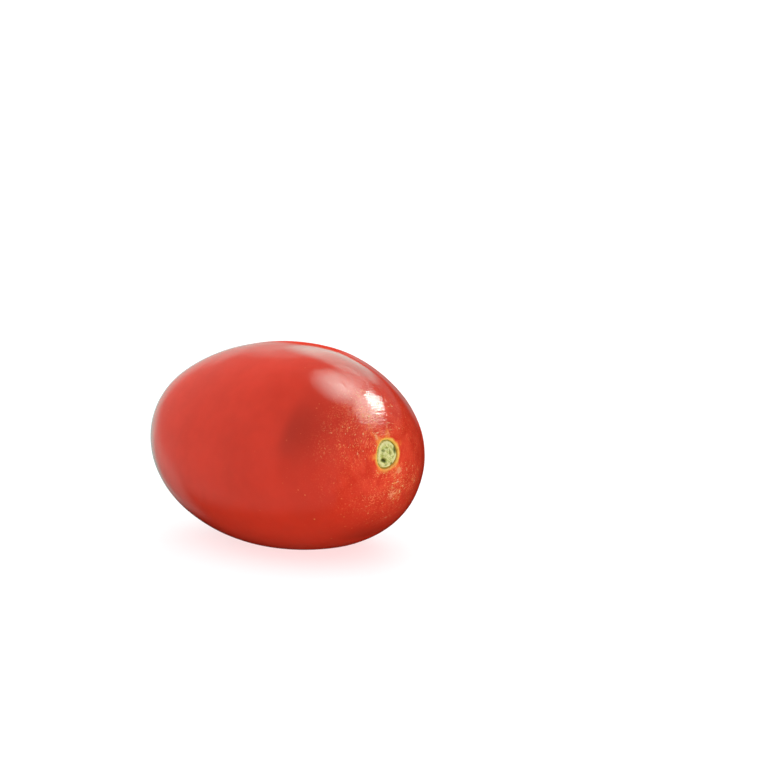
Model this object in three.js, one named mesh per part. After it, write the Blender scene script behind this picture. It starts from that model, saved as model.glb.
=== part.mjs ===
// A plum tomato lying on its side. It grew as one piece, so it is one closed body: the egg-shaped,
// softly three-lobed fruit, the corky scar where the stem came away, and the small blossom point.
// Millimetres, +Z up. The stem end is at +X, and the origin is the bottom centre of its box.
import * as THREE from 'three';

const DEGREE = Math.PI / 180;

// The whole fruit
const HALF_LENGTH = 40.5;
const BELLY_RADIUS = 25;
const STEM_FULLNESS = 0.06; // the stem half is fuller than the blossom half by this share
const END_FULLNESS = 0.04; // both halves are filled out towards their ends
const SHOULDER_FULLNESS = -0.08; // taken off close to the stem, and added close to the blossom
const BOW_SIDE = -2.5; // how far both ends stand off the belly's axis, along Y
const BOW_UP = 2.9; // and upwards, because the belly sags
const OVAL_SHARE = 0.038;
const OVAL_TURN = 160 * DEGREE;
const LOBE_COUNT = 3; // one lobe for each seed chamber
const LOBE_SHARE = 0.05;
const LOBE_TURN = 87 * DEGREE;
const STEM_LIFT = 3.4 * DEGREE; // the stem end lies a little higher than the blossom end
const REST_DEPTH = 0.95; // how much the skin flattens where the fruit lies on it

// The stem end: a shallow dimple, and in it the round scar
const DIMPLE_DEPTH = 0.5;
const DIMPLE_RADIUS = 8;
const SCAR_RADIUS = 3.1;
const SCAR_OVAL = 0.055; // the scar is a little taller than wide
const SCAR_OVAL_TURN = 82 * DEGREE;
const SCAR_CORNERS = 0.04; // and very softly three-cornered
const SCAR_CORNER_TURN = -11 * DEGREE;
const LIP_WIDTH = 0.42; // the skin turns down over this width
const GROOVE_DEPTH = 0.72; // between the skin's lip and the corky disc
const DISC_RADIUS = 2.82;
const DISC_EDGE = 0.3;
const DISC_RISE = 0.52; // of the disc's top above the groove
const DISC_DOME = 0.12;
const PLUG_ACROSS = -0.4;
const PLUG_UP = 0.1;
const PLUG_RADIUS = 1.05;
const PLUG_EDGE = 0.35;
const PLUG_RISE = 0.2;
const PITS = [ // where the veins of the stem broke off: across and up from the scar's middle
    { across: 0.72, up: 0.25, width: 0.25, height: 0.4, depth: 0.34 },
    { across: -1.15, up: -1.2, width: 0.46, height: 0.3, depth: 0.4 },
    { across: -1.2, up: 0.95, width: 0.28, height: 0.25, depth: 0.22 },
    { across: 2.3, up: 0.8, width: 0.28, height: 0.55, depth: 0.42 },
    { across: 1.15, up: -2.3, width: 0.25, height: 0.25, depth: 0.26 },
];

// The blossom end: a low point with the dry dot that the flower left
const POINT_HEIGHT = 0.7;
const POINT_RADIUS = 3.2;
const DOT_DEPTH = 0.3;
const DOT_RADIUS = 0.8;

// The mesh: rings round the long axis, close together at both ends
const SEGMENTS = 60;
const SCAR_RINGS = 17;
const SCAR_RING_STEP = 0.25;
const BODY_RINGS = 36;
const POINT_RINGS = 6;
const POINT_RING_STEP = 0.6;

const gauss = (distance, width) => Math.exp(-((distance / width) ** 2));

// 0 up to the first edge, 1 from the second on, and a smooth step between; the edges may fall.
function step(from, to, value) {
    const t = THREE.MathUtils.clamp((value - from) / (to - from), 0, 1);
    return t * t * (3 - 2 * t);
}

// How full the outline is at the polar angle phi, which is 0 at the stem and pi at the blossom.
function fullness(phi) {
    const c = Math.cos(phi);
    return 1 + STEM_FULLNESS * c + END_FULLNESS * c ** 2 + SHOULDER_FULLNESS * c ** 3;
}

// The share that the oval and the lobes add to the radius; both fade out at the two ends.
function section(phi, theta) {
    const s = Math.sin(phi);
    const oval = OVAL_SHARE * Math.cos(2 * (theta - OVAL_TURN)) * s;
    const lobes = LOBE_SHARE * Math.cos(LOBE_COUNT * (theta - LOBE_TURN)) * s ** 2;
    return 1 + oval + lobes;
}

// How far the surface stands out along +X at a distance from the scar's middle.
function stemRelief(distance, theta) {
    const oval = SCAR_OVAL * Math.cos(2 * (theta - SCAR_OVAL_TURN));
    const corners = SCAR_CORNERS * Math.cos(3 * (theta - SCAR_CORNER_TURN));
    const even = distance / (1 + oval + corners); // the same distance on a round scar
    const across = distance * Math.cos(theta);
    const up = distance * Math.sin(theta);
    const dimple = DIMPLE_DEPTH * gauss(distance, DIMPLE_RADIUS);
    const groove = GROOVE_DEPTH * step(SCAR_RADIUS + LIP_WIDTH / 2, SCAR_RADIUS - LIP_WIDTH / 2, even);
    const disc = step(DISC_RADIUS + DISC_EDGE / 2, DISC_RADIUS - DISC_EDGE / 2, even);
    const fromPlug = Math.hypot(across - PLUG_ACROSS, up - PLUG_UP);
    const plug = step(PLUG_RADIUS + PLUG_EDGE / 2, PLUG_RADIUS - PLUG_EDGE / 2, fromPlug);
    let rise = DISC_RISE + DISC_DOME * (1 - Math.min(even / DISC_RADIUS, 1) ** 2) + PLUG_RISE * plug;
    for (const pit of PITS) {
        const away = Math.hypot((across - pit.across) / pit.width, (up - pit.up) / pit.height);
        rise -= pit.depth * gauss(away, 1);
    }
    return disc * rise - groove - dimple;
}

// How far the surface stands out along -X at a distance from the blossom end's middle.
function blossomRelief(distance) {
    return POINT_HEIGHT * gauss(distance, POINT_RADIUS) - DOT_DEPTH * gauss(distance, DOT_RADIUS);
}

function surfacePoint(phi, theta) {
    const c = Math.cos(phi);
    const radius = BELLY_RADIUS * Math.sin(phi) * fullness(phi) * section(phi, theta);
    const relief = c > 0 ? stemRelief(radius, theta) : -blossomRelief(radius);
    return new THREE.Vector3(
        HALF_LENGTH * c + relief,
        radius * Math.cos(theta) + BOW_SIDE * c ** 2,
        radius * Math.sin(theta) + BOW_UP * c ** 2,
    );
}

// The polar angles of the rings, from the stem to the blossom.
function ringAngles() {
    const stemStep = SCAR_RING_STEP / (BELLY_RADIUS * fullness(0));
    const pointStep = POINT_RING_STEP / (BELLY_RADIUS * fullness(Math.PI));
    const angles = [];
    for (let ring = 1; ring <= SCAR_RINGS; ring++) angles.push(ring * stemStep);
    const bodyStart = SCAR_RINGS * stemStep;
    const bodyEnd = Math.PI - POINT_RINGS * pointStep;
    for (let ring = 1; ring < BODY_RINGS; ring++) {
        const t = ring / BODY_RINGS;
        const eased = 0.8 * t + 0.2 * step(0, 1, t);
        angles.push(bodyStart + (bodyEnd - bodyStart) * eased);
    }
    for (let ring = POINT_RINGS; ring >= 1; ring--) angles.push(Math.PI - ring * pointStep);
    return angles;
}

// A closed skin of rings between one point at the stem and one at the blossom.
function fruitGeometry() {
    const points = [surfacePoint(0, 0)];
    const angles = ringAngles();
    for (const phi of angles) {
        for (let side = 0; side < SEGMENTS; side++) {
            points.push(surfacePoint(phi, (2 * Math.PI * side) / SEGMENTS));
        }
    }
    points.push(surfacePoint(Math.PI, 0));

    const corner = (ring, side) => 1 + ring * SEGMENTS + (side % SEGMENTS);
    const last = points.length - 1;
    const faces = [];
    for (let side = 0; side < SEGMENTS; side++) {
        faces.push(0, corner(0, side), corner(0, side + 1));
        for (let ring = 0; ring + 1 < angles.length; ring++) {
            const [a, b] = [corner(ring, side), corner(ring, side + 1)];
            const [c, d] = [corner(ring + 1, side), corner(ring + 1, side + 1)];
            faces.push(a, c, b, b, c, d);
        }
        faces.push(corner(angles.length - 1, side + 1), corner(angles.length - 1, side), last);
    }
    const geometry = new THREE.BufferGeometry().setFromPoints(points);
    geometry.setIndex(faces);
    return geometry;
}

// Lays the fruit down: lifts its stem end, flattens the skin that it lies on, and puts the bottom
// centre of its box at the origin.
function layDown(geometry) {
    geometry.rotateY(-STEM_LIFT);
    geometry.computeBoundingBox();
    const restHeight = geometry.boundingBox.min.z + REST_DEPTH;
    const places = geometry.attributes.position;
    for (let i = 0; i < places.count; i++) places.setZ(i, Math.max(places.getZ(i), restHeight));
    geometry.computeBoundingBox();
    const middle = geometry.boundingBox.getCenter(new THREE.Vector3());
    geometry.translate(-middle.x, -middle.y, -restHeight);
    geometry.computeVertexNormals();
}

const geometry = fruitGeometry();
layDown(geometry);
const skin = new THREE.MeshStandardMaterial({ color: 0xd2402c, roughness: 0.28, metalness: 0 });
const fruit = new THREE.Mesh(geometry, skin);
fruit.name = 'fruit';

const tomato = new THREE.Group();
tomato.name = 'plum_tomato';
tomato.add(fruit);

export default tomato;
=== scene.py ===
"""A ripe plum tomato lying on its side on a plain pale floor, in soft studio light.

The fruit is one grown body: egg-shaped, softly three-lobed, with the corky scar of its stem at one end and
a small blossom point at the other. Sizes are in millimetres, as grown along the X axis before it is laid
down, and become metres when the mesh is made.
"""
import logging
import math
from dataclasses import dataclass, field
from enum import Enum
from typing import Any

import bpy
import numpy as np
from mathutils import Matrix, Vector, noise


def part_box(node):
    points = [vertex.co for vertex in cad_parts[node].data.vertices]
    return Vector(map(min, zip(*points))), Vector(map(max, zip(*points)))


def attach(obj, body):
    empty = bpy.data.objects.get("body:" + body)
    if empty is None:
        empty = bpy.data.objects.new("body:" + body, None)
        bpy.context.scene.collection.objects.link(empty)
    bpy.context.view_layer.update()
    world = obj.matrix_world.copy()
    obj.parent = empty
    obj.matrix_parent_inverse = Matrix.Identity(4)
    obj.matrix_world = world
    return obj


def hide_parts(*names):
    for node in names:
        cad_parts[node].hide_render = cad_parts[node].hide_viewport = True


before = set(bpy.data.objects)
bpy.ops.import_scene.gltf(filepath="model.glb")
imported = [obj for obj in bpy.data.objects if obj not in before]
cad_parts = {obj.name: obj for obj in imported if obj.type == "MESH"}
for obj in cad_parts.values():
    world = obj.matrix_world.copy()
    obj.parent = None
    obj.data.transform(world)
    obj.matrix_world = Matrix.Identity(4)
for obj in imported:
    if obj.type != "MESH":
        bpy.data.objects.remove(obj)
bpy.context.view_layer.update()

LOG = logging.getLogger("tomato")
MM = 0.001
CAD_NODE = "fruit"
CAD_BODY = "root"
NO_FALL_OFF = 90.0

Colour = tuple[float, float, float, float]
Place = tuple[float, float, float]


class Trait(Enum):
    """The measures that the fruit's mesh carries for its finishes, each as a mesh attribute."""

    FROM_STEM = "from_stem"
    FROM_BLOSSOM = "from_blossom"
    OUTSIDE_SCAR = "outside_scar"
    AROUND = "around"
    SCAR_PLACE = "scar_place"
    HOLLOW = "hollow"
    STAR = "star"
    PUCKER_HIGHLIGHT = "pucker_highlight"
    VALLEY_SHADE = "valley"


class Gives(Enum):
    """What a studio light adds to the surfaces that it reaches."""

    SHADE = "even light, without an image of the light itself"
    SHINE = "its mirror image in the gloss, without more light"


class Layer(Enum):
    """The two tissues that show on the fruit, by material index."""

    SKIN = 0
    CORK = 1


def linear(value: float) -> float:
    """Turns one part of a colour as a screen shows it, from 0 to 255, into a linear part."""
    share = value / 255
    return share / 12.92 if share <= 0.04045 else ((share + 0.055) / 1.055) ** 2.4


def rgb(red: float, green: float, blue: float) -> Colour:
    """Turns a colour as a screen shows it, from 0 to 255, into a linear one."""
    return linear(red), linear(green), linear(blue), 1.0


def direction(azimuth: float, elevation: float) -> Vector:
    """Gives the unit vector that points at an azimuth from +X towards +Y and an elevation, in degrees."""
    turn, rise = math.radians(azimuth), math.radians(elevation)
    return Vector((math.cos(turn) * math.cos(rise), math.sin(turn) * math.cos(rise), math.sin(rise)))


def smooth_step(start: float, end: float, value: np.ndarray) -> np.ndarray:
    """Rises smoothly from 0 at start to 1 at end, or falls where end is the lower one."""
    share = np.clip((value - start) / (end - start), 0.0, 1.0)
    return share * share * (3 - 2 * share)


def bell(distance: np.ndarray, width: float) -> np.ndarray:
    """Gives a bell curve of a distance: 1 at nothing, and 0.37 at the width."""
    return np.exp(-((distance / width) ** 2))


class Wire:
    """A value on its way through a shader, with Python's arithmetic on it."""

    def __init__(self, graph: "Graph", socket: bpy.types.NodeSocket) -> None:
        """Keeps the socket that the value comes out of, and the graph that it is in."""
        self.graph = graph
        self.socket = socket

    def _math(self, operation: str, first: "Wire | float", second: "Wire | float") -> "Wire":
        """Adds one Math node.

        Args:
            operation: The name of the Math node's operation.
            first: Its first value.
            second: Its second value.

        Returns:
            The result.
        """
        return self.graph.add("ShaderNodeMath", {"operation": operation}, {0: first, 1: second})

    def __add__(self, other: "Wire | float") -> "Wire":
        """Adds."""
        return self._math("ADD", self, other)

    __radd__ = __add__

    def __sub__(self, other: "Wire | float") -> "Wire":
        """Subtracts."""
        return self._math("SUBTRACT", self, other)

    def __rsub__(self, other: float) -> "Wire":
        """Subtracts from a number."""
        return self._math("SUBTRACT", other, self)

    def __mul__(self, other: "Wire | float") -> "Wire":
        """Multiplies."""
        return self._math("MULTIPLY", self, other)

    __rmul__ = __mul__

    def clipped(self) -> "Wire":
        """Keeps the value between 0 and 1."""
        return self.graph.add("ShaderNodeClamp", {}, {0: self})

    def step(self, start: float, end: float) -> "Wire":
        """Rises smoothly from 0 at start to 1 at end, or falls where end is the lower one.

        Args:
            start: The value at one edge, where the result is 0.
            end: The value at the other edge, where the result is 1.

        Returns:
            The mask.
        """
        low, high, ends = (start, end, (0.0, 1.0)) if start < end else (end, start, (1.0, 0.0))
        settings = {"interpolation_type": "SMOOTHSTEP"}
        sockets = {0: self, 1: low, 2: high, 3: ends[0], 4: ends[1]}
        return self.graph.add("ShaderNodeMapRange", settings, sockets)

    def part(self, axis: str) -> "Wire":
        """Takes the X, Y or Z part of a vector."""
        return self.graph.add("ShaderNodeSeparateXYZ", {}, {0: self}, out=axis)

    def along(self, way: Place) -> "Wire":
        """Gives the dot product of a vector with a fixed one.

        Args:
            way: The fixed vector.

        Returns:
            The product, as a number.
        """
        settings = {"operation": "DOT_PRODUCT"}
        return self.graph.add("ShaderNodeVectorMath", settings, {0: self, 1: way}, out="Value")

    def stretched(self, factors: Place) -> "Wire":
        """Multiplies a vector by another, part by part."""
        return self.graph.add("ShaderNodeVectorMath", {"operation": "MULTIPLY"}, {0: self, 1: factors})

    def moved(self, offset: "Wire | Place") -> "Wire":
        """Adds a vector."""
        return self.graph.add("ShaderNodeVectorMath", {"operation": "ADD"}, {0: self, 1: offset})

    def painted(self, colour: "Wire | Colour", amount: "Wire | float") -> "Wire":
        """Lays a colour over this one.

        Args:
            colour: The colour that goes on top.
            amount: How much of it shows, from 0 to 1.

        Returns:
            The mixed colour.
        """
        return self.graph.mix(self, colour, amount)


class Graph:
    """The nodes of one material or world."""

    def __init__(self, tree: bpy.types.NodeTree) -> None:
        """Empties a node tree and takes it over."""
        self.tree = tree
        tree.nodes.clear()

    def add(self, kind: str, settings: dict[str, Any], sockets: dict[int | str, Any],
            out: int | str = 0) -> Wire:
        """Adds one node.

        Args:
            kind: The node's type.
            settings: What is set on the node itself, before its sockets.
            sockets: A value or a wire for each of its input sockets, by index or name.
            out: The output that the result comes from, by index or name.

        Returns:
            The wire that leaves the node, or an empty one for a node with no output.
        """
        node = self.tree.nodes.new(kind)
        for name, value in settings.items():
            setattr(node, name, value)
        for key, value in sockets.items():
            if isinstance(value, Wire):
                self.tree.links.new(value.socket, node.inputs[key])
            else:
                node.inputs[key].default_value = value
        return Wire(self, node.outputs[out] if len(node.outputs) else None)

    def trait(self, trait: Trait, out: str = "Fac") -> Wire:
        """Reads one of the measures that the mesh carries."""
        return self.add("ShaderNodeAttribute", {"attribute_name": trait.value}, {}, out)

    def mix(self, first: Wire | Colour, second: Wire | Colour, amount: Wire | float) -> Wire:
        """Mixes two colours: all of the first at an amount of 0, and all of the second at 1."""
        return self.add("ShaderNodeMix", {"data_type": "RGBA"}, {0: amount, 6: first, 7: second}, out=2)

    def cloud(self, place: Wire, size: float, detail: float = 2.0) -> Wire:
        """Makes soft noise.

        Args:
            place: The vector that it is read at.
            size: The size of its largest forms, in the vector's own units.
            detail: How many finer octaves it has.

        Returns:
            The noise, from 0 to 1.
        """
        return self.add("ShaderNodeTexNoise", {}, {"Vector": place, "Scale": 1 / size, "Detail": detail})

    def bump(self, height: Wire, depth: float) -> Wire:
        """Turns a height, where 1 stands for the depth in metres, into the normals of a rough surface."""
        sockets = {"Strength": 1.0, "Distance": depth, "Height": height}
        return self.add("ShaderNodeBump", {}, sockets, out="Normal")


@dataclass(frozen=True)
class Pit:
    """A small hollow in the scar's cork, where a vein of the stem broke off.

    The place is in millimetres across and up from the scar's middle, as seen by someone who faces it.
    """

    across: float
    up: float
    width: float
    height: float
    depth: float


@dataclass(frozen=True)
class Ray:
    """One ray of the pale star that the sepals left round the scar, in degrees and millimetres."""

    turn: float
    reach: float
    width: float


@dataclass(frozen=True)
class PuckerHighlight:
    """A small pucker near the scar, placed as a pit is, whose pale colour is a painted highlight."""

    across: float
    up: float
    width: float
    height: float
    strength: float


@dataclass
class Scar:
    """The round corky scar that the stem left, set in a groove behind the skin's lip."""

    radius: float = 3.1
    oval_share: float = 0.055
    oval_turn: float = math.radians(82)
    corner_share: float = 0.04
    corner_turn: float = math.radians(-11)
    lip_width: float = 0.42
    groove_depth: float = 0.72
    disc_radius: float = 2.82
    disc_edge: float = 0.3
    disc_rise: float = 0.52
    dome: float = 0.12
    plug_centre: tuple[float, float] = (-0.4, 0.1)
    plug_radius: float = 1.05
    plug_edge: float = 0.35
    plug_rise: float = 0.2
    moat_depth: float = 0.14
    grain: float = 0.05
    pits: tuple[Pit, ...] = (
        Pit(0.72, 0.25, 0.22, 0.42, 0.36),
        Pit(-1.15, -1.15, 0.5, 0.26, 0.4),
        Pit(-0.75, -1.45, 0.3, 0.24, 0.3),
        Pit(-1.2, 0.95, 0.3, 0.22, 0.22),
        Pit(0.0, 1.35, 0.4, 0.16, 0.16),
        Pit(1.15, -2.3, 0.22, 0.28, 0.26),
        # The crescent pit at the right edge, whose dark in the cork is painted shadow of the skin's rim.
        Pit(2.3, 0.8, 0.3, 0.6, 0.42),
        Pit(-0.4, -2.3, 0.4, 0.2, 0.12),
        Pit(1.6, -0.9, 0.2, 0.4, 0.12),
    )
    star_reach: float = 0.5
    rays: tuple[Ray, ...] = (
        Ray(30, 1.5, 12),
        Ray(84, 2.2, 9),
        Ray(124, 2.6, 10),
        Ray(182, 1.9, 12),
        Ray(236, 1.1, 14),
        Ray(311, 2.8, 12),
    )
    # Painted highlights where small puckers by the scar catch the light.
    pucker_highlights: tuple[PuckerHighlight, ...] = (
        PuckerHighlight(-2.7, 4.0, 0.7, 0.8, 0.9),
        PuckerHighlight(3.6, -4.1, 1.5, 0.9, 1.0),
        PuckerHighlight(2.3, -9.3, 2.2, 1.6, 0.8),
        PuckerHighlight(0.6, 6.0, 0.35, 0.9, 0.8),
        PuckerHighlight(-6.0, 1.0, 0.9, 0.7, 0.6),
        PuckerHighlight(-3.5, 8.5, 2.6, 1.4, 0.7),
        PuckerHighlight(-4.5, -8.5, 2.5, 2.0, 0.5),
    )

    def edge(self, turn: np.ndarray) -> np.ndarray:
        """Gives the scar's radius, which is softly oval and three-cornered.

        Args:
            turn: The turns round the scar, in radians.

        Returns:
            The radius at each, in millimetres.
        """
        oval = self.oval_share * np.cos(2 * (turn - self.oval_turn))
        corners = self.corner_share * np.cos(3 * (turn - self.corner_turn))
        return self.radius * (1 + oval + corners)

    def hollows(self, across: np.ndarray, up: np.ndarray, scale: float = 1.0) -> np.ndarray:
        """Adds up the depths of the pits at places on the scar.

        Args:
            across: How far across from the scar's middle each place is.
            up: How far up from it each place is.
            scale: How many times their own width the pits are read at.

        Returns:
            The depths, in millimetres.
        """
        total = np.zeros_like(across)
        for pit in self.pits:
            away = np.hypot((across - pit.across) / pit.width, (up - pit.up) / pit.height)
            total += pit.depth * bell(away, scale)
        return total

    def star(self, outside: np.ndarray, turn: np.ndarray) -> np.ndarray:
        """Draws the pale star: 1 at the scar's edge, falling to 0 where its rays end.

        Args:
            outside: How far each place is outside the scar.
            turn: Its turn round the scar, in radians.

        Returns:
            The strength of the star, negative beyond it.
        """
        reach = np.full_like(turn, self.star_reach)
        for ray in self.rays:
            away = np.degrees(np.angle(np.exp(1j * (turn - math.radians(ray.turn)))))
            reach += ray.reach * bell(away, ray.width)
        return np.clip(1 - outside / reach, -1.0, 1.0)

    def pucker_highlight_marks(self, across: np.ndarray, up: np.ndarray) -> np.ndarray:
        """Adds up the painted highlights of the puckers at places round the scar.

        Args:
            across: How far across from the scar's middle each place is.
            up: How far up from it each place is.

        Returns:
            The strength of the painted highlight.
        """
        total = np.zeros_like(across)
        for pucker_highlight in self.pucker_highlights:
            away = np.hypot((across - pucker_highlight.across) / pucker_highlight.width, (up - pucker_highlight.up) / pucker_highlight.height)
            total += pucker_highlight.strength * bell(away, 1.0)
        return total

    @staticmethod
    def within(distance: np.ndarray, radius: float, edge: float) -> np.ndarray:
        """Marks what lies within a radius.

        Args:
            distance: How far each place is from the middle.
            radius: The radius.
            edge: The width over which the mark falls from 1 to 0, half of it on either side of the radius.

        Returns:
            The marks.
        """
        return smooth_step(radius + edge / 2, radius - edge / 2, distance)

    def relief(self, distance: np.ndarray, turn: np.ndarray) -> np.ndarray:
        """Says how far the surface stands out at places round the stem end.

        Args:
            distance: How far each place is from the scar's middle.
            turn: Its turn round the scar, in radians.

        Returns:
            The heights, in millimetres.
        """
        across, up = distance * np.cos(turn), distance * np.sin(turn)
        even = distance * self.radius / self.edge(turn)
        height = -self.groove_depth * self.within(even, self.radius, self.lip_width)
        disc = self.within(even, self.disc_radius, self.disc_edge)
        from_plug = np.hypot(across - self.plug_centre[0], up - self.plug_centre[1])
        plug = self.within(from_plug, self.plug_radius, self.plug_edge)
        moat = bell(from_plug - self.plug_radius - self.plug_edge, self.plug_edge)
        dome = self.dome * (1 - np.minimum(even / self.disc_radius, 1) ** 2)
        height += disc * (self.disc_rise + dome + self.plug_rise * plug - self.moat_depth * moat)
        return height - disc * self.hollows(across, up)


@dataclass(frozen=True)
class Body:
    """The fruit's points before they become a mesh, in rings from the scar to the blossom point.

    Angle is each point's polar angle and turn its turn round the long axis. Even is its distance from the
    scar's middle in millimetres, evened out to a round scar, and near_stem says whether it is on the half
    of the stem. Laid has the points in the frame, in metres, and belly has the middle of the belly there.
    """

    ring_count: int
    angle: np.ndarray
    turn: np.ndarray
    even: np.ndarray
    near_stem: np.ndarray
    laid: np.ndarray
    belly: Vector


@dataclass
class Fruit:
    """The tomato's whole body.

    Fullness, bow, oval and lobes shape its outline, and the steps and their growth space its rings. The
    waves in the skin keep the calm share of their height at the scar, and have all of it from the calm
    reach on. Octaves hold how fast they weaken, how much finer each is than the last and how many there
    are. Far is what the blossom's half has for its distance from the scar, and the pit tissue and shade
    spread is how many times as wide as its pit the dark round a pit in the cork is: partly the cork's own
    darker tissue and partly painted shade in the hollow.
    """

    half_length: float = 40.5
    belly_radius: float = 25.0
    stem_fullness: float = 0.06
    end_fullness: float = 0.04
    shoulder_fullness: float = -0.08
    bow_side: float = -2.5
    bow_up: float = 2.9
    oval_share: float = 0.038
    oval_turn: float = math.radians(160)
    lobe_count: int = 3
    lobe_share: float = 0.05
    lobe_turn: float = math.radians(87)
    stem_lift: float = math.radians(3.4)
    rest_depth: float = 0.95
    dimple_depth: float = 0.5
    dimple_radius: float = 8.0
    point_height: float = 0.7
    point_radius: float = 3.2
    dot_depth: float = 0.3
    dot_radius: float = 0.8
    # The valley fields place the painted shade in the valleys between the lobes.
    valley_lean: float = math.radians(8)
    valley_tightness: float = 1.3
    valley_start: float = 23.0
    valley_edge: float = 3.5
    valley_fade: float = 28.0
    valley_end: float = 37.0
    wave_height: float = 0.1
    wave_size: float = 13.0
    wave_octaves: tuple[float, float, int] = (0.8, 2.2, 2)
    calm_share: float = 0.3
    calm_reach: float = 6.0
    grain_rate: float = 2.6
    grain_octaves: tuple[float, float, int] = (0.6, 2.1, 4)
    cork_edge: float = 0.4
    segments: int = 240
    scar_reach: float = 4.6
    scar_step: float = 0.08
    growth: float = 1.045
    widest_step: float = 1.0
    blossom_reach: float = 4.0
    blossom_step: float = 0.16
    arc_samples: int = 2000
    far: float = 50.0
    pit_tissue_and_shade_spread: float = 1.3
    scar: Scar = field(default_factory=Scar)

    def fullness(self, angle: np.ndarray) -> np.ndarray:
        """Gives how full the outline is.

        Args:
            angle: The polar angles, from 0 at the stem to pi at the blossom.

        Returns:
            The fullness at each, near 1.
        """
        along = np.cos(angle)
        ends = self.end_fullness * along**2
        return 1 + self.stem_fullness * along + ends + self.shoulder_fullness * along**3

    def section(self, angle: np.ndarray, turn: np.ndarray) -> np.ndarray:
        """Gives the share that the oval and the lobes make of the radius.

        Args:
            angle: The polar angle of each point.
            turn: Its turn round the long axis.

        Returns:
            The share, near 1.
        """
        out = np.sin(angle)
        oval = self.oval_share * np.cos(2 * (turn - self.oval_turn)) * out
        lobes = self.lobe_share * np.cos(self.lobe_count * (turn - self.lobe_turn)) * out**2
        return 1 + oval + lobes

    def ring_angles(self) -> np.ndarray:
        """Spaces the rings: close at the scar and at the blossom point, and wider between.

        Returns:
            The polar angles of the rings, from the stem to the blossom.
        """
        stem_unit = self.belly_radius * float(self.fullness(np.array(0.0)))
        blossom_unit = self.belly_radius * float(self.fullness(np.array(math.pi)))
        stem = np.arange(self.scar_step, self.scar_reach, self.scar_step) / stem_unit
        from_point = np.arange(self.blossom_step, self.blossom_reach, self.blossom_step)
        blossom = math.pi - from_point / blossom_unit
        forward, step = [stem[-1]], self.scar_step
        back, back_step = [blossom[-1]], self.blossom_step
        while back[-1] - forward[-1] > 2 * self.widest_step / self.belly_radius:
            step = min(step * self.growth, self.widest_step)
            back_step = min(back_step * self.growth, self.widest_step)
            if step <= back_step:
                forward.append(forward[-1] + step / self.belly_radius)
            else:
                back.append(back[-1] - back_step / self.belly_radius)
            if step == back_step == self.widest_step:
                count = int((back[-1] - forward[-1]) * self.belly_radius / self.widest_step)
                forward += list(np.linspace(forward[-1], back[-1], count + 1)[1:-1])
                break
        return np.concatenate([stem, forward[1:], back[:0:-1], blossom[::-1]])

    def surface(self, angle: np.ndarray, turn: np.ndarray) -> np.ndarray:
        """Places points on the fruit as it grew, before it is laid down.

        Args:
            angle: The polar angle of each point.
            turn: Its turn round the long axis, of the same shape.

        Returns:
            The points, in millimetres, with a last axis of three.
        """
        along = np.cos(angle)
        radius = self.belly_radius * np.sin(angle) * self.fullness(angle) * self.section(angle, turn)
        stem = self.scar.relief(radius, turn) - self.dimple_depth * bell(radius, self.dimple_radius)
        point = self.point_height * bell(radius, self.point_radius)
        dot = self.dot_depth * bell(radius, self.dot_radius)
        out = np.where(along > 0, stem, dot - point)
        return np.stack([
            self.half_length * along + out,
            radius * np.cos(turn) + self.bow_side * along**2,
            radius * np.sin(turn) + self.bow_up * along**2,
        ], axis=-1)

    def waves(self, points: np.ndarray, outward: np.ndarray, amount: np.ndarray) -> np.ndarray:
        """Moves points along their outward ways by slow noise, as the skin of a real fruit wavers.

        Args:
            points: The points, in millimetres.
            outward: A unit vector at each.
            amount: How far the noise may move each, in millimetres.

        Returns:
            The moved points.
        """
        places = points / self.wave_size
        heights = np.array([noise.fractal(Vector(place), *self.wave_octaves) for place in places])
        return points + outward * (heights * amount)[:, None]

    def grain(self, points: np.ndarray, amount: np.ndarray) -> np.ndarray:
        """Roughens the scar's cork along the long axis by fine noise.

        Args:
            points: The points, in millimetres.
            amount: How far the noise may move each, in millimetres.

        Returns:
            The moved points.
        """
        heights = np.zeros(len(points))
        for i in np.nonzero(amount > 0)[0]:
            place = Vector(points[i] * self.grain_rate)
            heights[i] = noise.fractal(place, *self.grain_octaves) * amount[i]
        return points + np.outer(heights, (1.0, 0.0, 0.0))

    def grow(self) -> Body:
        """Works out the points of the fruit, and lays them in the space of its CAD solid.

        Returns:
            The points and their measures.
        """
        rings = self.ring_angles()
        turns = np.linspace(0, 2 * math.pi, self.segments, endpoint=False)
        angle, turn = (part.ravel() for part in np.meshgrid(rings, turns, indexing="ij"))
        angle = np.concatenate([[0.0], angle, [math.pi]])
        turn = np.concatenate([[0.0], turn, [0.0]])
        points = self.surface(angle, turn)

        from_axis = self.belly_radius * np.sin(angle) * self.fullness(angle) * self.section(angle, turn)
        even = from_axis * self.scar.radius / self.scar.edge(turn)
        near_stem = np.cos(angle) > 0
        out = np.sin(angle)
        outward = np.stack([np.cos(angle), out * np.cos(turn), out * np.sin(turn)], axis=-1)
        away = smooth_step(self.scar.radius, self.scar.radius + self.calm_reach, even)
        free = self.calm_share + (1 - self.calm_share) * np.where(near_stem, away, 1.0)
        points = self.waves(points, outward, self.wave_height * free)
        cork = np.where(near_stem, self.scar.within(even, self.scar.disc_radius, self.cork_edge), 0)
        points = self.grain(points, cork * self.scar.grain)

        laid, belly = self.lay_down(points)
        return Body(len(rings), angle, turn, even, near_stem, laid, belly)

    def build(self, body: Body) -> bpy.types.Object:
        """Builds the fruit's mesh and stores its traits.

        Args:
            body: The fruit's points.

        Returns:
            The object.
        """
        mesh = bpy.data.meshes.new("tomato")
        mesh.from_pydata(body.laid.tolist(), [], self.faces(body.ring_count))
        self.store_traits(mesh, body)
        tomato = bpy.data.objects.new("tomato", mesh)
        bpy.context.scene.collection.objects.link(tomato)
        mesh.polygons.foreach_set("use_smooth", [True] * len(mesh.polygons))
        return tomato

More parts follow.
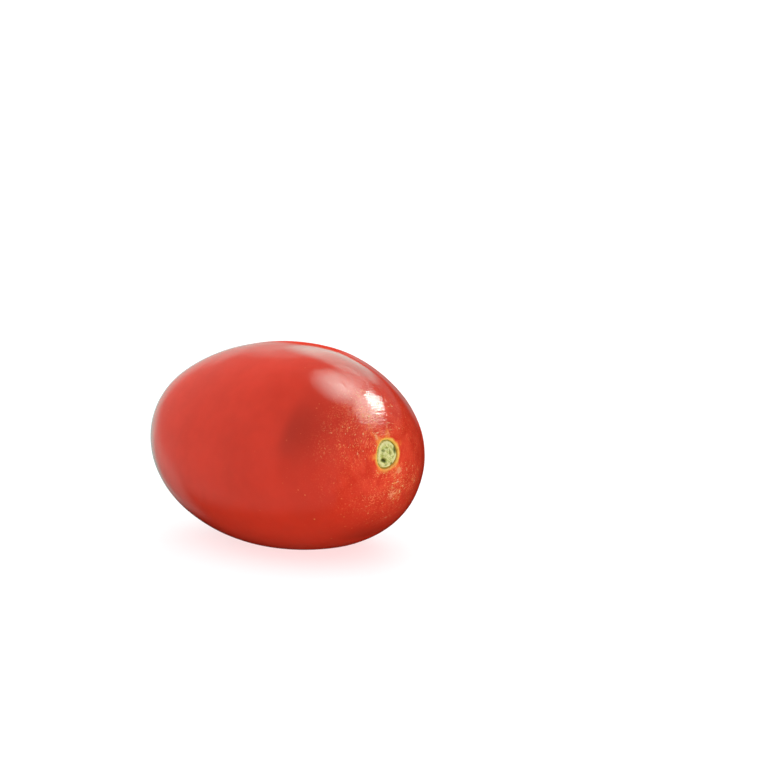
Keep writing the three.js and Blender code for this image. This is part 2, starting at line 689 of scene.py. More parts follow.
    def faces(self, ring_count: int) -> list[tuple[int, ...]]:
        """Joins the rings with four-sided faces, and closes both ends with fans.

        Args:
            ring_count: How many rings there are.

        Returns:
            The corners of each face, by the number of its point.
        """
        sides = self.segments
        last = 1 + ring_count * sides
        found: list[tuple[int, ...]] = []
        for side in range(sides):
            following = (side + 1) % sides
            found.append((0, 1 + side, 1 + following))
            for ring in range(ring_count - 1):
                start = 1 + ring * sides
                after = start + sides
                found.append((start + side, after + side, after + following, start + following))
            start = 1 + (ring_count - 1) * sides
            found.append((start + following, start + side, last))
        return found

    def lay_down(self, points: np.ndarray) -> tuple[np.ndarray, Vector]:
        """Turns the fruit as it lies, flattens the skin under it, and fits it to its CAD solid's box.

        Args:
            points: The points as grown, in millimetres.

        Returns:
            The points in the frame, in metres, and the middle of the belly.
        """
        lift = np.array(Matrix.Rotation(-self.stem_lift, 3, "Y"))
        laid = np.vstack([points, [(0.0, 0.0, 0.0)]]) @ lift.T
        body = laid[:-1]
        rest = body[:, 2].min() + self.rest_depth
        body[:, 2] = np.maximum(body[:, 2], rest)
        low, high = (np.array(corner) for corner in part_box(CAD_NODE))
        own_low, own_high = body.min(axis=0), body.max(axis=0)
        fitted = low + (laid - own_low) * (high - low) / (own_high - own_low)
        return fitted[:-1], Vector(fitted[-1])

    def store_traits(self, mesh: bpy.types.Mesh, body: Body) -> None:
        """Writes the measures that the finishes read on the mesh, in millimetres.

        Args:
            mesh: The fruit's mesh.
            body: The points that it is made of.
        """
        turn, near_stem = body.turn, body.near_stem
        arc = self.arc_lengths(body.angle)
        outside = body.even - self.scar.radius
        across, up = body.even * np.cos(turn), body.even * np.sin(turn)
        measures = {
            Trait.FROM_STEM: arc,
            Trait.FROM_BLOSSOM: arc.max() - arc,
            Trait.OUTSIDE_SCAR: np.where(near_stem, outside, self.far),
            Trait.HOLLOW: np.where(near_stem, self.scar.hollows(across, up, self.pit_tissue_and_shade_spread), 0),
            Trait.STAR: np.where(near_stem, self.scar.star(outside, turn), -1),
            Trait.PUCKER_HIGHLIGHT: np.where(near_stem, self.scar.pucker_highlight_marks(across, up), 0),
            Trait.VALLEY_SHADE: self.valleys(body.angle, turn),
        }
        for trait, values in measures.items():
            attribute = mesh.attributes.new(trait.value, "FLOAT", "POINT")
            attribute.data.foreach_set("value", values.astype(np.float32))
        around = np.stack([np.cos(turn), np.sin(turn), 0 * turn], axis=-1)
        place = np.stack([across, up, 0 * turn], axis=-1)
        for trait, vectors in ((Trait.AROUND, around), (Trait.SCAR_PLACE, place)):
            attribute = mesh.attributes.new(trait.value, "FLOAT_VECTOR", "POINT")
            attribute.data.foreach_set("vector", vectors.astype(np.float32).ravel())

    def valleys(self, angle: np.ndarray, turn: np.ndarray) -> np.ndarray:
        """Marks where the valleys between the lobes run up the stem's shoulder, and the skin gets painted
        shade.

        Args:
            angle: The polar angle of each point.
            turn: Its turn round the long axis.

        Returns:
            The marks, from 0 to 1.
        """
        beside = -np.cos(self.lobe_count * (turn - self.lobe_turn - self.valley_lean))
        between = np.exp(self.valley_tightness * (beside - 1))
        lengthwise = self.half_length * np.cos(angle)
        begun = smooth_step(self.valley_start, self.valley_start + self.valley_edge, lengthwise)
        return between * begun * smooth_step(self.valley_end, self.valley_fade, lengthwise)

    def arc_lengths(self, angle: np.ndarray) -> np.ndarray:
        """Measures how far points lie from the stem along the outline of a round, smooth fruit.

        Args:
            angle: The polar angle of each point.

        Returns:
            The lengths, in millimetres.
        """
        fine = np.linspace(0, math.pi, self.arc_samples)
        radius = self.belly_radius * np.sin(fine) * self.fullness(fine)
        steps = np.hypot(np.diff(self.half_length * np.cos(fine)), np.diff(radius))
        return np.interp(angle, fine, np.concatenate([[0.0], np.cumsum(steps)]))

    def dress(self, tomato: bpy.types.Object, finishes: dict[Layer, bpy.types.Material]) -> None:
        """Gives the skin and the cork their own materials, with the border in the groove round the scar.

        Args:
            tomato: The fruit.
            finishes: The material of each layer.
        """
        for layer in Layer:
            tomato.data.materials.append(finishes[layer])
        values = np.zeros(len(tomato.data.vertices), np.float32)
        tomato.data.attributes[Trait.OUTSIDE_SCAR.value].data.foreach_get("value", values)
        border = self.scar.disc_radius + self.scar.disc_edge / 2 - self.scar.radius
        indices = [
            Layer.CORK.value if max(values[v] for v in face.vertices) <= border else Layer.SKIN.value
            for face in tomato.data.polygons
        ]
        tomato.data.polygons.foreach_set("material_index", indices)


@dataclass(frozen=True)
class FleckBand:
    """A ring of flecks round the stem end, whose strokes lie along circles round the scar.

    The first four are distances from the scar's middle, where the flecks start, are full, fade and end.
    Length and width are those of one stroke's cell. All are in millimetres, but for the strength, which is
    how much shows.
    """

    start: float
    full: float
    fade: float
    end: float
    length: float
    width: float
    strength: float


@dataclass(frozen=True)
class SkinMap:
    """What the patterns of the skin read: measures from the mesh, in millimetres, and soft noises.

    Place is the place on the surface, distance runs from the scar's middle and outside from its edge, and
    around is the turn round the scar, as a point on a circle. Scar place is the place across and up from
    the scar's middle. Mottle, blotch, fine and sand are noises, from the largest forms to the smallest.
    """

    graph: Graph
    place: Wire
    distance: Wire
    outside: Wire
    around: Wire
    scar_place: Wire
    mottle: Wire
    blotch: Wire
    fine: Wire
    sand: Wire

    @classmethod
    def read(cls, graph: Graph) -> "SkinMap":
        """Reads the measures and makes the noises.

        Args:
            graph: The skin's nodes.

        Returns:
            The map.
        """
        place = graph.add("ShaderNodeTexCoord", {}, {}, out="Object").stretched((1 / MM,) * 3)
        return cls(
            graph=graph,
            place=place,
            distance=graph.trait(Trait.FROM_STEM),
            outside=graph.trait(Trait.OUTSIDE_SCAR),
            around=graph.trait(Trait.AROUND, "Vector"),
            scar_place=graph.trait(Trait.SCAR_PLACE, "Vector"),
            mottle=graph.cloud(place, 14.0, 3.0),
            blotch=graph.cloud(place, 3.0, 3.0),
            fine=graph.cloud(place, 0.9, 4.0),
            sand=graph.cloud(place.moved((5.0, 2.0, 9.0)), 0.34, 1.0),
        )


@dataclass(frozen=True)
class SkinMarks:
    """The marks that stand out from the skin, from 0 to 1: flecks, specks of two sizes and the puckers'
    painted highlights.
    """

    flecks: Wire
    small_specks: Wire
    large_specks: Wire
    pucker_highlight: Wire


@dataclass(frozen=True)
class SkinFinish:
    """The waxy red skin: mottled red with painted shade in the valleys, a pale star round the scar, flecks,
    the puckers' painted highlights and fine cracks.

    The flecks crowd on both sides of the scar along their axis, in degrees from across to up, and their
    edge is where in the noise they start and are full. A reach holds how far from the scar's middle the
    shoulder's flush, the sand or the cracks end, and are full. A crack's cell is the distance at which it
    has its length, that length and its width. The glow is the share of the light that goes through the
    flesh, and its reach is how far red, green and blue go in it. Lengths are in millimetres.
    """

    red: Colour = (0.68, 0.042, 0.019, 1.0)
    deep_red: Colour = (0.60, 0.036, 0.016, 1.0)
    # Painted shade for the valleys between the lobes.
    painted_valley_shade: Colour = (0.44, 0.028, 0.013, 1.0)
    flush: Colour = (0.81, 0.088, 0.042, 1.0)
    orange: Colour = (0.88, 0.19, 0.045, 1.0)
    yellow: Colour = (0.90, 0.56, 0.11, 1.0)
    fleck: Colour = (0.88, 0.19, 0.08, 1.0)
    golden: Colour = (0.80, 0.38, 0.10, 1.0)
    pale: Colour = (0.95, 0.72, 0.42, 1.0)
    # The pale tan of the puckers' painted highlights.
    highlight_tint: Colour = (0.72, 0.36, 0.19, 1.0)
    dot_brown: Colour = (0.10, 0.045, 0.018, 1.0)
    lip_olive: Colour = (0.50, 0.40, 0.07, 1.0)
    # Painted shadow that the skin's rim casts on the right of the lip.
    painted_rim_shadow: Colour = (0.20, 0.15, 0.02, 1.0)
    fleck_axis: float = 114.0
    fleck_edge: tuple[float, float] = (0.58, 0.66)
    small_cell: float = 0.45
    small_end: float = 27.0
    large_cell: float = 1.05
    large_end: float = 36.0
    large_crowd: float = 0.36
    shoulder_reach: tuple[float, float] = (19.0, 3.5)
    sand_reach: tuple[float, float] = (28.0, 8.0)
    crack_reach: tuple[float, float] = (24.0, 9.0)
    crack_cell: tuple[float, float, float] = (10.0, 2.4, 0.55)
    crack_height: float = 3.8
    bump_depth: float = 0.03
    glow: float = 0.32
    glow_reach: Place = (3.0, 0.7, 0.35)
    roughness: float = 0.11
    index: float = 1.42
    bands: tuple[FleckBand, ...] = (
        FleckBand(3.0, 3.8, 7.0, 9.0, 0.60, 0.22, 1.0),
        FleckBand(6.5, 8.5, 12.0, 15.0, 0.52, 0.24, 0.9),
        FleckBand(11.0, 14.0, 16.5, 21.0, 0.44, 0.28, 0.35),
    )

    def cylinder(self, skin: SkinMap, radius: float, length: float, width: float) -> Wire:
        """Wraps a pattern round the stem end, so that its cells lie along circles round the scar.

        Args:
            skin: What the pattern reads.
            radius: The distance from the scar's middle at which a cell has its length.
            length: The length of a cell along the circle.
            width: Its width away from the scar.

        Returns:
            The place in the pattern, with one cell to a unit.
        """
        lift = skin.graph.add("ShaderNodeCombineXYZ", {}, {2: skin.distance * (1 / width)})
        return skin.around.stretched((radius / length,) * 3).moved(lift)

    def flecks(self, skin: SkinMap, crowd: Wire) -> Wire:
        """Scatters the flecks: irregular strokes in rings round the scar, in denser and thinner patches.

        Args:
            skin: What the flecks read.
            crowd: How crowded they are, from 0 to 1.

        Returns:
            The flecks, from 0 to 1.
        """
        patches = skin.graph.cloud(skin.place, 3.4, 3.0)
        amount: Wire | float = 0.0
        for band in self.bands:
            middle = (band.full + band.fade) / 2
            cells = self.cylinder(skin, middle, band.length, band.width)
            within = skin.distance.step(band.start, band.full) * skin.distance.step(band.end, band.fade)
            stroke = skin.graph.cloud(cells, 1.0, 2.0) + 0.45 * (patches - 0.5) + 0.16 * (crowd - 0.6)
            amount = band.strength * stroke.step(*self.fleck_edge) * within + amount
        return amount.clipped()

    def specks(self, skin: SkinMap, cell: float, crowd: Wire | float, end: float) -> Wire:
        """Scatters small round specks, which thin out towards the belly.

        Args:
            skin: What the specks read.
            cell: The space that each speck has.
            crowd: The share of the cells that hold a speck near the scar.
            end: The distance from the scar's middle at which the last ones end.

        Returns:
            The specks, from 0 to 1.
        """
        cells = {"Vector": skin.place, "Scale": 1 / cell, "Randomness": 1.0}
        near = skin.graph.add("ShaderNodeTexVoronoi", {}, cells, out="Distance")
        dice = skin.graph.add("ShaderNodeTexVoronoi", {}, cells, out="Color")
        patches = skin.graph.cloud(skin.place.moved((31.0, 7.0, 3.0)), 4.0, 2.0).step(0.35, 0.62)
        chance = crowd * skin.distance.step(end, 0.25 * end) * (0.35 + 0.65 * patches)
        chosen = (dice.part("X") + chance).step(0.98, 1.02)
        strength = 0.25 + 0.75 * dice.part("Z") * dice.part("Y")
        return (0.12 + 0.15 * dice.part("Y") - near).step(-0.02, 0.10) * chosen * strength

    def marks(self, skin: SkinMap) -> SkinMarks:
        """Places the flecks, the specks and the painted highlights of the puckers.

        Args:
            skin: What they read.

        Returns:
            The marks.
        """
        near = 0.9 * skin.outside.step(0.3, 0.9)
        beside = skin.around.along(tuple(direction(self.fleck_axis, 0.0)))
        crowd = beside * beside
        flecks = self.flecks(skin, crowd) * near
        broken = 1.1 * skin.sand + 0.9 * skin.fine + 0.3 * flecks - 0.35
        pucker_highlight = skin.graph.trait(Trait.PUCKER_HIGHLIGHT).clipped() * broken
        return SkinMarks(
            flecks=flecks,
            small_specks=self.specks(skin, self.small_cell, 0.55 + 0.45 * crowd, self.small_end) * near,
            large_specks=self.specks(skin, self.large_cell, self.large_crowd, self.large_end) * near,
            pucker_highlight=pucker_highlight.step(0.32, 0.72),
        )

    def ground(self, skin: SkinMap) -> Wire:
        """Mottles the red, darkens it with painted shade in the valleys between the lobes and flushes the
        shoulder.

        Args:
            skin: What the colour reads.

        Returns:
            The colour under everything else.
        """
        mottled = (0.7 * skin.mottle + 0.3 * skin.blotch).step(0.3, 0.7)
        colour = skin.graph.mix(self.deep_red, self.red, mottled)
        # Painted shade: a darker red over the valleys between the lobes.
        colour = colour.painted(self.painted_valley_shade, 0.85 * skin.graph.trait(Trait.VALLEY_SHADE))
        shoulder = skin.distance.step(*self.shoulder_reach) * skin.blotch.step(0.30, 0.62)
        return colour.painted(self.flush, 0.6 * shoulder)

    def with_collar(self, skin: SkinMap, colour: Wire) -> Wire:
        """Paints the rays of the star and the yellow ring round the scar, both duller below it.

        Args:
            skin: What they read.
            colour: The colour below them.

        Returns:
            The colour with them.
        """
        star = skin.graph.trait(Trait.STAR) + 1.8 * (skin.graph.cloud(skin.place, 0.8, 3.0) - 0.5)
        colour = colour.painted(self.orange, 0.75 * star.step(-0.4, 0.8))
        ring = skin.outside + 1.5 * (skin.blotch - 0.5) + 0.8 * (skin.fine - 0.5)
        bright = (skin.scar_place.part("Y") + 3.0 * (skin.fine - 0.5)).step(-3.2, -0.4)
        colour = colour.painted(self.yellow, 0.4 * bright * star.step(0.1, 1.0))
        return colour.painted(self.yellow, (0.5 + 0.5 * bright) * ring.step(0.85, 0.12))

    def with_sand(self, skin: SkinMap, colour: Wire) -> Wire:
        """Dusts the skin near the scar with fine pale and deep grains.

        Args:
            skin: What they read.
            colour: The colour below them.

        Returns:
            The colour with them.
        """
        near = skin.distance.step(*self.sand_reach)
        colour = colour.painted(self.fleck, 0.22 * skin.sand.step(0.54, 0.72) * near)
        return colour.painted(self.deep_red, 0.40 * skin.sand.step(0.46, 0.28) * near)

    def with_marks(self, skin: SkinMap, marks: SkinMarks, colour: Wire) -> Wire:
        """Paints the marks, in tints that change from one to the next.

        Args:
            skin: What the tints read.
            marks: The marks.
            colour: The colour below them.

        Returns:
            The colour with them.
        """
        shade = skin.graph.cloud(skin.place.moved((3.0, 11.0, 17.0)), 0.7, 1.0)
        tint = skin.graph.mix(self.fleck, self.golden, shade.step(0.50, 0.66))
        tint = tint.painted(self.pale, shade.step(0.62, 0.74))
        colour = colour.painted(tint, 0.95 * marks.flecks)
        colour = colour.painted(self.fleck, 0.8 * marks.small_specks)
        colour = colour.painted(tint, 0.8 * marks.large_specks)
        # The puckers get painted highlights, in a pale tan tint.
        return colour.painted(skin.graph.mix(self.highlight_tint, tint, 0.45), 0.8 * marks.pucker_highlight)

    def with_ends(self, skin: SkinMap, colour: Wire, from_dot: Wire) -> Wire:
        """Paints the lip where the skin turns down into the scar's groove, with painted shadow on its
        right, and the dot at the blossom end.

        Args:
            skin: What they read.
            colour: The colour below them.
            from_dot: The distance from the dot's middle.

        Returns:
            The colour with them.
        """
        # The lip darkens towards the right with painted shadow, where the skin's rim shades the groove.
        side = skin.scar_place.part("X") + 2.0 * (skin.fine - 0.5)
        lip = skin.graph.mix(self.lip_olive, self.painted_rim_shadow, side.step(0.6, 2.4))
        colour = colour.painted(lip, skin.outside.step(0.08, -0.14))
        colour = colour.painted(self.orange, 0.6 * from_dot.step(5.0, 1.0))
        return colour.painted(self.dot_brown, from_dot.step(0.95, 0.6))

    def relief(self, skin: SkinMap, marks: SkinMarks) -> Wire:
        """Adds up how high the fine cracks and the marks stand, as times the bump's depth.

        Args:
            skin: What the cracks read.
            marks: The marks.

        Returns:
            The height.
        """
        cracks = skin.graph.cloud(self.cylinder(skin, *self.crack_cell), 1.0, 2.0)
        height = self.crack_height * cracks * skin.distance.step(*self.crack_reach) + 0.4 * skin.fine
        height = height + 0.5 * marks.flecks + 0.5 * marks.small_specks
        return height + 0.4 * marks.large_specks + 0.6 * marks.pucker_highlight

    def build(self) -> bpy.types.Material:
        """Makes the skin's material.

        Returns:
            The material.
        """
        material = bpy.data.materials.new("tomato_skin")
        material.use_nodes = True
        graph = Graph(material.node_tree)
        skin = SkinMap.read(graph)
        marks = self.marks(skin)
        from_dot = graph.trait(Trait.FROM_BLOSSOM) + 0.5 * (skin.fine - 0.5)
        colour = self.with_sand(skin, self.with_collar(skin, self.ground(skin)))
        colour = self.with_ends(skin, self.with_marks(skin, marks, colour), from_dot)
        rough = self.roughness + 0.05 * (skin.mottle - 0.5)
        rough = rough + 0.12 * marks.flecks + 0.25 * marks.pucker_highlight + 0.3 * from_dot.step(1.2, 0.7)
        shader = graph.add("ShaderNodeBsdfPrincipled", {"subsurface_method": "RANDOM_WALK"}, {
            "Base Color": colour,
            "Roughness": rough,
            "Subsurface Weight": self.glow,
            "Subsurface Radius": self.glow_reach,
            "Subsurface Scale": MM,
            "IOR": self.index,
            "Normal": graph.bump(self.relief(skin, marks), self.bump_depth * MM),
        })
        graph.add("ShaderNodeOutputMaterial", {}, {"Surface": shader})
        return material


@dataclass(frozen=True)
class CorkFinish:
    """The dry, greenish cork of the stem scar, with a pale edge and dark pits; lengths in millimetres."""

    cream: Colour = rgb(224, 221, 156)
    green: Colour = rgb(178, 184, 90)
    olive: Colour = rgb(134, 138, 44)
    dark: Colour = rgb(72, 74, 8)
    tan: Colour = rgb(206, 178, 110)
    roughness: float = 0.62
    grain_size: float = 0.28
    bump_depth: float = 0.22

    def build(self) -> bpy.types.Material:
        """Makes the cork's material.

        Returns:
            The material.
        """
        material = bpy.data.materials.new("stem_scar_cork")
        material.use_nodes = True
        graph = Graph(material.node_tree)
        place = graph.trait(Trait.SCAR_PLACE, "Vector")
        outside = graph.trait(Trait.OUTSIDE_SCAR)
        hollow = graph.trait(Trait.HOLLOW)
        blotch = graph.cloud(place, 1.1, 3.0)
        grain = graph.cloud(place, self.grain_size, 4.0)

        colour = graph.mix(self.green, self.cream, (0.5 * blotch + 0.5 * grain).step(0.43, 0.58))
        colour = colour.painted(self.cream, 0.8 * outside.step(-1.15, -0.75) * outside.step(-0.2, -0.5))
        stains = graph.cloud(place.moved((7.0, 3.0, 0.0)), 0.7, 2.0)
        colour = colour.painted(self.tan, 0.5 * stains.step(0.55, 0.75))
        # The pits are painted olive and dark by their depth: partly the cork's own darker tissue, partly
        # painted shade in the hollows.
        colour = colour.painted(self.olive, 0.9 * hollow.step(0.02, 0.14))
        colour = colour.painted(self.dark, hollow.step(0.12, 0.34))
        colour = colour.painted(self.olive, outside.step(-0.30, -0.12))

        shader = graph.add("ShaderNodeBsdfPrincipled", {}, {
            "Base Color": colour,
            "Roughness": self.roughness + 0.25 * (grain - 0.5),
            "Normal": graph.bump(grain, self.bump_depth * MM),
        })
        graph.add("ShaderNodeOutputMaterial", {}, {"Surface": shader})
        return material


@dataclass(frozen=True)
class FloorFinish:
    """Plain pale paper under the fruit, with the size of its faint clouds in metres."""

    pale: Colour = (0.86, 0.87, 0.885, 1.0)
    shade: Colour = (0.845, 0.855, 0.87, 1.0)
    cloud_size: float = 0.004

    def build(self) -> bpy.types.Material:
        """Makes the floor's material.

        Returns:
            The material.
        """
        material = bpy.data.materials.new("pale_floor")
        material.use_nodes = True
        graph = Graph(material.node_tree)
        metres = graph.add("ShaderNodeTexCoord", {}, {}, out="Object")
        colour = graph.mix(self.shade, self.pale, graph.cloud(metres, self.cloud_size, 3.0))
        shader = graph.add("ShaderNodeBsdfDiffuse", {}, {"Color": colour})
        graph.add("ShaderNodeOutputMaterial", {}, {"Surface": shader})
        return material


@dataclass
class Floor:
    """The plain pale surface that the fruit lies on, with its reach in metres."""

    reach: float = 6.0
    sides: int = 96

    def build(self) -> bpy.types.Object:
        """Builds the floor as a wide round sheet.

        Returns:
            The floor.
        """
        turns = [2 * math.pi * side / self.sides for side in range(self.sides)]
        corners = [(self.reach * math.cos(turn), self.reach * math.sin(turn), 0.0) for turn in turns]
        mesh = bpy.data.meshes.new("floor")
        mesh.from_pydata(corners, [], [tuple(range(self.sides))])
        floor = bpy.data.objects.new("floor", mesh)
        bpy.context.scene.collection.objects.link(floor)
        mesh.materials.append(FloorFinish().build())
        return floor


@dataclass
class SoftBox:
    """A round or oval studio light that faces the fruit.

    Azimuth runs from +X towards +Y. The spans are the angles that the light fills as seen from the fruit,
    and radiance is how bright the middle of its face is. A face with a fall-off dims towards its rim, and
    would be dark at that angle from its middle. Angles are in degrees, and the distance is in metres. Cool
    is the colour of a light that gives shine.
    """

    name: str
    azimuth: float
    elevation: float
    width_span: float
    height_span: float
    radiance: float
    gives: Gives
    fall_off: float = NO_FALL_OFF
    distance: float = 1.0
    cool: Place = (0.70, 1.0, 0.92)

    def build(self, target: Vector, receivers: bpy.types.Collection) -> bpy.types.Object:
        """Builds the light, with the energy that makes its face as bright as its radiance says.

        Args:
            target: The point that it faces.
            receivers: What it lights, and what alone casts shadows in it.

        Returns:
            The light.
        """
        width = 2 * self.distance * math.tan(math.radians(self.width_span / 2))
        height = 2 * self.distance * math.tan(math.radians(self.height_span / 2))
        data = bpy.data.lights.new(self.name, "AREA")
        data.shape = "ELLIPSE"
        data.size, data.size_y = width, height
        area = math.pi / 4 * width * height
        data.energy = self.radiance * math.pi * area
        if self.fall_off < NO_FALL_OFF:
            gone = math.radians(self.fall_off)
            data.spread = 2 * gone
            data.energy *= 1 - gone / math.tan(gone)
        if self.gives is Gives.SHINE:
            data.color = self.cool
        light = bpy.data.objects.new(self.name, data)
        bpy.context.scene.collection.objects.link(light)
        way = direction(self.azimuth, self.elevation)
        light.rotation_mode = "QUATERNION"
        light.rotation_quaternion = way.to_track_quat("Z", "Y")
        light.location = target + way * self.distance
        light.light_linking.receiver_collection = receivers
        light.light_linking.blocker_collection = receivers
        light.visible_diffuse = self.gives is Gives.SHADE
        light.visible_glossy = self.gives is Gives.SHINE
        return light


@dataclass(frozen=True)
class RoundPatch:
    """A round patch of the surroundings, full to one angle from its middle and gone at the other.

    The angles are in degrees.
    """

    azimuth: float
    elevation: float
    full: float
    end: float
    strength: float = 1.0

    def mask(self, way: Wire) -> Wire:
        """Masks the patch.

        Args:
            way: The direction that is looked in.

        Returns:
            The mask, from 0 to the patch's strength.
        """
        middle = tuple(direction(self.azimuth, self.elevation))
        mask = way.along(middle).step(math.cos(math.radians(self.end)), math.cos(math.radians(self.full)))
        return self.strength * mask


@dataclass
class Studio:
    """The soft light round the fruit, the floor's own washes of light, and the surroundings.

    The gloss mirrors the surroundings: a dim room, dark below and behind the fruit; a pale wall behind it,
    made of patches that end at the wall's foot; and a low red card on its right, which is dim but for a
    patch of its own, and has a gap that shows the wall. The dark way, the foot and the card's side are each
    an azimuth and an elevation, in degrees. The fall, the rise, the card's edge and its top are parts of a
    unit vector, that way or upwards, at which a mask starts and is full.
    """

    boxes: tuple[SoftBox, ...] = (
        SoftBox("window_shine", 71, 50, 23, 21, 34.0, Gives.SHINE, 35),
        SoftBox("curtain_shine", 38, 55, 42, 32, 12.0, Gives.SHINE, 40),
        SoftBox("overhead_shine", 113, 76, 54, 54, 11.5, Gives.SHINE, 26),
        SoftBox("sill_shine", 117, 49, 26, 14, 2.0, Gives.SHINE, 30),
        SoftBox("back_shade", 140, 52, 50, 50, 5.0, Gives.SHADE),
        SoftBox("left_shade", -122, 14, 60, 60, 2.1, Gives.SHADE),
        SoftBox("right_shade", -4, 4, 50, 50, 3.0, Gives.SHADE),
        SoftBox("foot_shade", 16, -40, 50, 50, 2.5, Gives.SHADE),
        SoftBox("low_shade", -126, -16, 50, 50, 0.6, Gives.SHADE),
    )
    wash_strength: float = 0.6
    open_wash_strength: float = 2.5
    wash_angle: float = 120.0
    ambient: float = 0.36
    table: float = 0.38
    table_patch: RoundPatch = RoundPatch(-135, -60, 8, 66)
    backdrop: float = 1.0
    backdrop_patches: tuple[RoundPatch, ...] = (
        RoundPatch(147, 0, 18, 30, 0.55),
        RoundPatch(172, -16, 10, 22, 0.35),
        RoundPatch(152, 31, 6, 13, 0.6),
        RoundPatch(131, 30, 11, 20, 2.4),
    )
    backdrop_foot: tuple[float, float] = (231.0, 38.0)
    backdrop_foot_rise: tuple[float, float] = (-0.08, 0.06)
    dark_way: tuple[float, float] = (-39.0, 60.0)
    dark_fall: tuple[float, float] = (-0.80, -0.50)
    card_side: tuple[float, float] = (56.0, 0.0)
    card_edge: tuple[float, float] = (-0.005, 0.05)
    card_top: tuple[float, float] = (0.30, 0.24)
    card_gap: RoundPatch = RoundPatch(129, 3, 5, 10)
    card: float = 0.9
    card_dim: float = 0.06
    card_patch: RoundPatch = RoundPatch(141, 8, 10, 26)
    warmth: Colour = (1.0, 0.965, 0.92, 1.0)
    wall_tone: Colour = (0.34, 1.08, 1.0, 1.0)
    card_red: Colour = (0.95, 0.085, 0.05, 1.0)
    seen: float = 0.95

    def build(self, target: Vector, tomato: bpy.types.Object, floor: bpy.types.Object) -> None:
        """Builds the lights and the surroundings.

        Args:
            target: The middle of the fruit, which the lights face.
            tomato: The fruit.
            floor: The floor, which has its own light so that it stays pale.
        """
        lit = {piece.name: bpy.data.collections.new(f"light_on_{piece.name}") for piece in (tomato, floor)}
        for piece in (tomato, floor):
            lit[piece.name].objects.link(piece)
        for box in self.boxes:
            box.build(target, lit[tomato.name])
        self.wash("floor_wash", self.wash_strength, lit[floor.name], None)
        self.wash("open_floor_wash", self.open_wash_strength, lit[floor.name], lit[floor.name])
        floor.visible_glossy = False
        floor.visible_diffuse = False
        self.surround()

    def wash(self, name: str, strength: float, receivers: bpy.types.Collection,
             blockers: bpy.types.Collection | None) -> None:
        """Makes one even wash of light from above.

        Args:
            name: Its name.
            strength: How strong it is, in watts to the square metre.
            receivers: What it lights.
            blockers: What alone casts a shadow in it, or None where everything does.
        """
        sun = bpy.data.lights.new(name, "SUN")
        sun.energy, sun.angle = strength, math.radians(self.wash_angle)
        light = bpy.data.objects.new(name, sun)
        bpy.context.scene.collection.objects.link(light)
        light.light_linking.receiver_collection = receivers
        light.light_linking.blocker_collection = blockers

    def surround(self) -> None:
        """Makes the world, which the camera sees as pale all over and the gloss mirrors as it is."""
        world = bpy.data.worlds.new("pale_room")
        world.use_nodes = True
        graph = Graph(world.node_tree)
        way = graph.add("ShaderNodeTexCoord", {}, {}, out="Generated")
        side = way.along(tuple(direction(*self.card_side)))
        card = side.step(*self.card_edge) * way.part("Z").step(*self.card_top)
        card = card * (1 - self.card_gap.mask(way))
        wall: Wire | float = 0.0
        for patch in self.backdrop_patches:
            wall = patch.mask(way) + wall
        wall = wall * (1 - card)
        wall = wall * way.along(tuple(direction(*self.backdrop_foot))).step(*self.backdrop_foot_rise)
        room = self.ambient * way.along(tuple(direction(*self.dark_way))).step(*self.dark_fall)
        room = room + (self.table - self.ambient) * self.table_patch.mask(way)
        seen = graph.add("ShaderNodeLightPath", {}, {}, out="Is Camera Ray")
        colour = graph.mix(self.warmth, self.wall_tone, wall.clipped()).painted(self.card_red, card)
        glow = self.card * (self.card_dim + (1 - self.card_dim) * self.card_patch.mask(way))
        light = (room + (self.backdrop - self.ambient) * wall) * (1 - card) + glow * card
        strength = seen * self.seen + (1 - seen) * light
        colour = colour.painted(self.warmth, seen)
        surface = graph.add("ShaderNodeBackground", {}, {"Color": colour, "Strength": strength})
        graph.add("ShaderNodeOutputWorld", {}, {"Surface": surface})
        bpy.context.scene.world = world


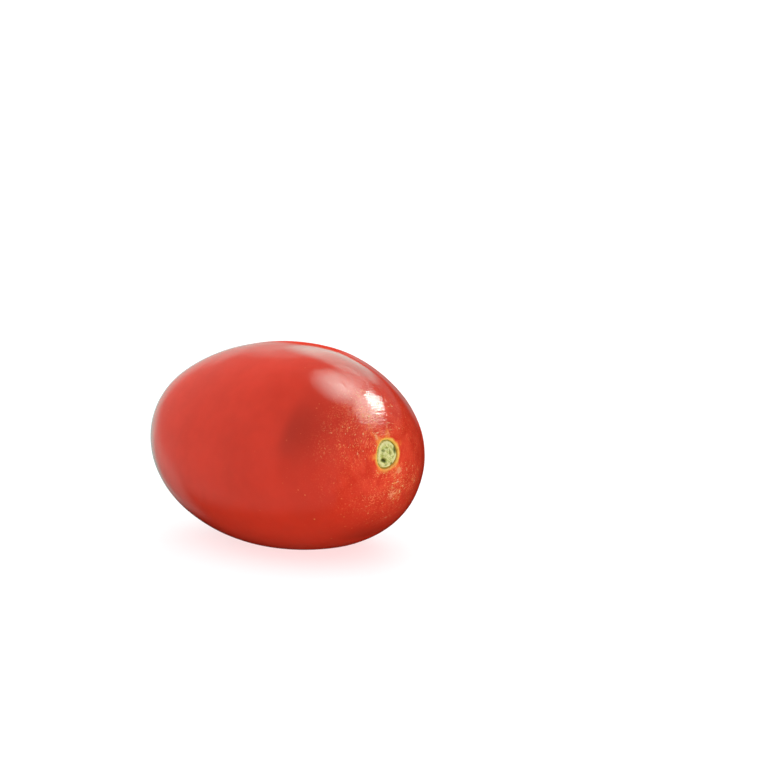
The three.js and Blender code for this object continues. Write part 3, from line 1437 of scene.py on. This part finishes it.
@dataclass
class Viewpoint:
    """The camera at the photograph's viewing angle.

    The azimuth is how far the camera stands round the fruit from -Y towards +X, in degrees. Its distance
    and clip are in metres, and its sensor is in millimetres. The pixels are those of the photograph, which
    is 780 pixels wide and high.
    """

    azimuth: float = 51.0
    elevation: float = 10.0
    distance: float = 0.7
    focal_pixels: float = 2988.0
    frame_pixels: float = 780.0
    belly_pixel: tuple[float, float] = (289.5, 449.25)
    sensor: float = 36.0
    clip: tuple[float, float] = (0.01, 50.0)

    def build(self, belly: Vector) -> bpy.types.Object:
        """Builds the camera so that the middle of the belly falls on its pixel.

        Args:
            belly: The middle of the fruit's belly, in the frame.

        Returns:
            The camera.
        """
        turn, rise = math.radians(self.azimuth), math.radians(self.elevation)
        back = Vector((math.sin(turn) * math.cos(rise), -math.cos(turn) * math.cos(rise), math.sin(rise)))
        right = Vector((math.cos(turn), math.sin(turn), 0.0))
        up = back.cross(right)
        per_pixel = self.distance / self.focal_pixels
        across = (self.belly_pixel[0] - self.frame_pixels / 2) * per_pixel
        above = (self.frame_pixels / 2 - self.belly_pixel[1]) * per_pixel
        data = bpy.data.cameras.new("camera")
        data.sensor_width = self.sensor
        data.lens = self.focal_pixels / self.frame_pixels * self.sensor
        data.clip_start, data.clip_end = self.clip
        camera = bpy.data.objects.new("camera", data)
        bpy.context.scene.collection.objects.link(camera)
        place = belly - right * across - up * above + back * self.distance
        basis = Matrix((right, up, back)).transposed()
        camera.matrix_world = Matrix.Translation(place) @ basis.to_4x4()
        bpy.context.scene.camera = camera
        return camera


def main() -> None:
    """Builds the camera, the fruit, its finishes, the floor and the light, and reports each piece."""
    logging.basicConfig(level=logging.INFO, format="%(name)s: %(message)s")
    scene = bpy.context.scene
    scene.view_settings.view_transform = "Standard"

    fruit = Fruit()
    body = fruit.grow()
    camera = Viewpoint().build(body.belly)
    LOG.info("%s: %.0f mm from the belly", camera.name, Viewpoint.distance / MM)
    tomato = fruit.build(body)
    fruit.dress(tomato, {Layer.SKIN: SkinFinish().build(), Layer.CORK: CorkFinish().build()})
    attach(tomato, CAD_BODY)
    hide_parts(CAD_NODE)
    LOG.info("%s: %d faces, rides on %s", tomato.name, len(tomato.data.polygons), CAD_BODY)

    floor = Floor().build()
    LOG.info("%s: stage", floor.name)
    low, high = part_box(CAD_NODE)
    Studio().build((low + high) / 2, tomato, floor)


if __name__ == "__main__":
    main()
